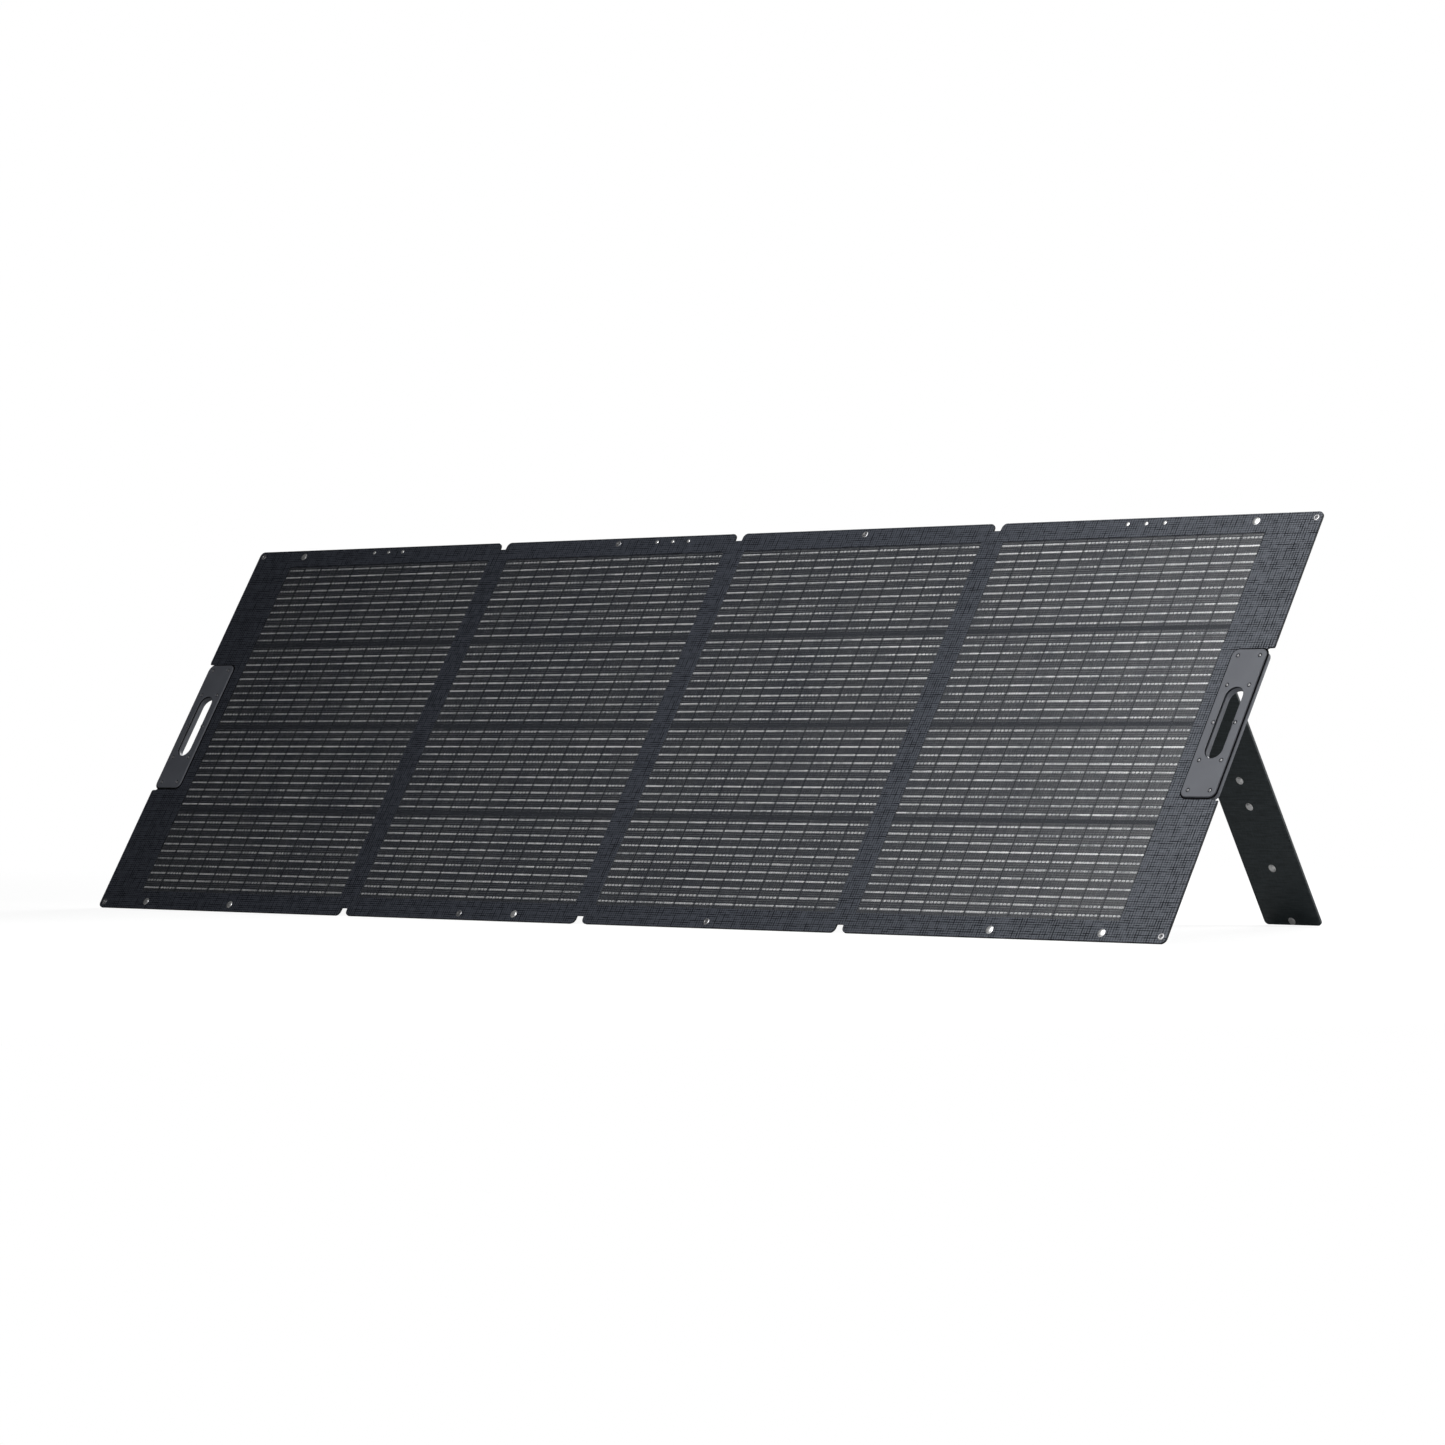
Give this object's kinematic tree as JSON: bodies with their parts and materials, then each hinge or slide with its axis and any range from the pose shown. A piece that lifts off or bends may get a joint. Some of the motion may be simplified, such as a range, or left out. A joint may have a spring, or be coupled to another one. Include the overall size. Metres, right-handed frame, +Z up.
{
  "type": "folding solar panel",
  "caption": "Folding camping solar panel: hinged laminate panels with stiff end handles, edge eyelets, fold-out flat legs and a zipped cable pocket behind.",
  "frame": {"origin": "on the ground, at the centre of the footprint of the unfolded and standing panel", "axes": "+X along the row of panels to the right as seen from the sunny side, +Y from the sunny side to the legs behind, +Z up"},
  "size_m": [2.68, 0.8448, 0.7128],
  "materials": {
    "face_weave": "woven laminate, satin",
    "back_weave": "coarse woven, matt",
    "board": "glass-fibre board",
    "cover_film": "clear textured film",
    "solar_cell": "dark silicon",
    "cell_ribbon": "tinned, satin",
    "fastener_metal": "nickel plated",
    "screw_metal": "dark zinc",
    "handle_plastic": "fine moulded grain",
    "stand_board": "brushed woven laminate",
    "black_plastic": "moulded",
    "terminal_brass": "plain",
    "cable_jacket": "matt",
    "pocket_fabric": "nylon"
  },
  "bodies": {
    "panel_2": {"panel_2_back_fabric": "back_weave", "panel_2_board": "board", "panel_2_cells": "solar_cell", "panel_2_cover_film": "cover_film", "panel_2_eyelets": "fastener_metal", "panel_2_face_sheet": "face_weave", "panel_2_ribbons": "cell_ribbon", "panel_2_snaps": "fastener_metal", "stand_middle_hinge_flap": "back_weave", "stand_middle_rivets": "fastener_metal"},
    "panel_1": {"left_handle_back_shell": "handle_plastic", "left_handle_front_plate": "handle_plastic", "left_handle_screws": "screw_metal", "panel_1_back_fabric": "back_weave", "panel_1_board": "board", "panel_1_cells": "solar_cell", "panel_1_cover_film": "cover_film", "panel_1_eyelets": "fastener_metal", "panel_1_face_sheet": "face_weave", "panel_1_ribbons": "cell_ribbon", "panel_1_snaps": "fastener_metal", "stand_left_hinge_flap": "back_weave", "stand_left_rivets": "fastener_metal"},
    "panel_3": {"cable_glands": "black_plastic", "cable_pocket": "pocket_fabric", "connector_plug": "black_plastic", "connector_socket": "black_plastic", "junction_box_lid": "black_plastic", "junction_box_screws": "screw_metal", "junction_box_terminals": "terminal_brass", "junction_box_tray": "black_plastic", "output_leads": "cable_jacket", "panel_3_back_fabric": "back_weave", "panel_3_board": "board", "panel_3_cells": "solar_cell", "panel_3_cover_film": "cover_film", "panel_3_eyelets": "fastener_metal", "panel_3_face_sheet": "face_weave", "panel_3_ribbons": "cell_ribbon", "pocket_zip_tape": "pocket_fabric"},
    "panel_4": {"panel_4_back_fabric": "back_weave", "panel_4_board": "board", "panel_4_cells": "solar_cell", "panel_4_cover_film": "cover_film", "panel_4_eyelets": "fastener_metal", "panel_4_face_sheet": "face_weave", "panel_4_ribbons": "cell_ribbon", "panel_4_snaps": "fastener_metal", "right_handle_back_shell": "handle_plastic", "right_handle_front_plate": "handle_plastic", "right_handle_screws": "screw_metal", "stand_right_hinge_flap": "back_weave", "stand_right_rivets": "fastener_metal"},
    "stand_left": {"stand_left_board": "stand_board", "stand_left_snaps": "fastener_metal"},
    "stand_middle": {"stand_middle_board": "stand_board", "stand_middle_snaps": "fastener_metal"},
    "stand_right": {"stand_right_board": "stand_board", "stand_right_snaps": "fastener_metal"},
    "zip_slider": {"pocket_zip_slider": "fastener_metal"}
  },
  "joints": [
    {"name": "fold_middle", "type": "hinge", "parent": "panel_2", "child": "panel_3", "pos_m": [0, -0.19436, 0.34915], "axis": [0, 0.5165, 0.8563], "range_deg": [0, 179]},
    {"name": "fold_left", "type": "hinge", "parent": "panel_2", "child": "panel_1", "pos_m": [-0.628, -0.21105, 0.35923], "axis": [0, 0.5165, 0.8563], "range_deg": [0, 179]},
    {"name": "fold_right", "type": "hinge", "parent": "panel_3", "child": "panel_4", "pos_m": [0.628, -0.21105, 0.35923], "axis": [0, -0.5165, -0.8563], "range_deg": [0, 179]},
    {"name": "stand_left_hinge", "type": "hinge", "parent": "panel_1", "child": "stand_left", "pos_m": [-0.955, 0.00432, 0.69061], "axis": [-1, 0, 0], "range_deg": [-15, 62.2]},
    {"name": "stand_middle_hinge", "type": "hinge", "parent": "panel_2", "child": "stand_middle", "pos_m": [-0.171, 0.00432, 0.69061], "axis": [-1, 0, 0], "range_deg": [-77, 0]},
    {"name": "stand_right_hinge", "type": "hinge", "parent": "panel_4", "child": "stand_right", "pos_m": [0.964, 0.00432, 0.69061], "axis": [-1, 0, 0], "range_deg": [-15, 62.2]},
    {"name": "pocket_zip", "type": "slide", "parent": "panel_3", "child": "zip_slider", "axis": [-1, 0, 0], "range_m": [0, 0.23]}
  ],
  "couplings": [
    {"joint": "fold_left", "follows": "fold_middle", "ratio": 1},
    {"joint": "fold_right", "follows": "fold_middle", "ratio": 1}
  ]
}
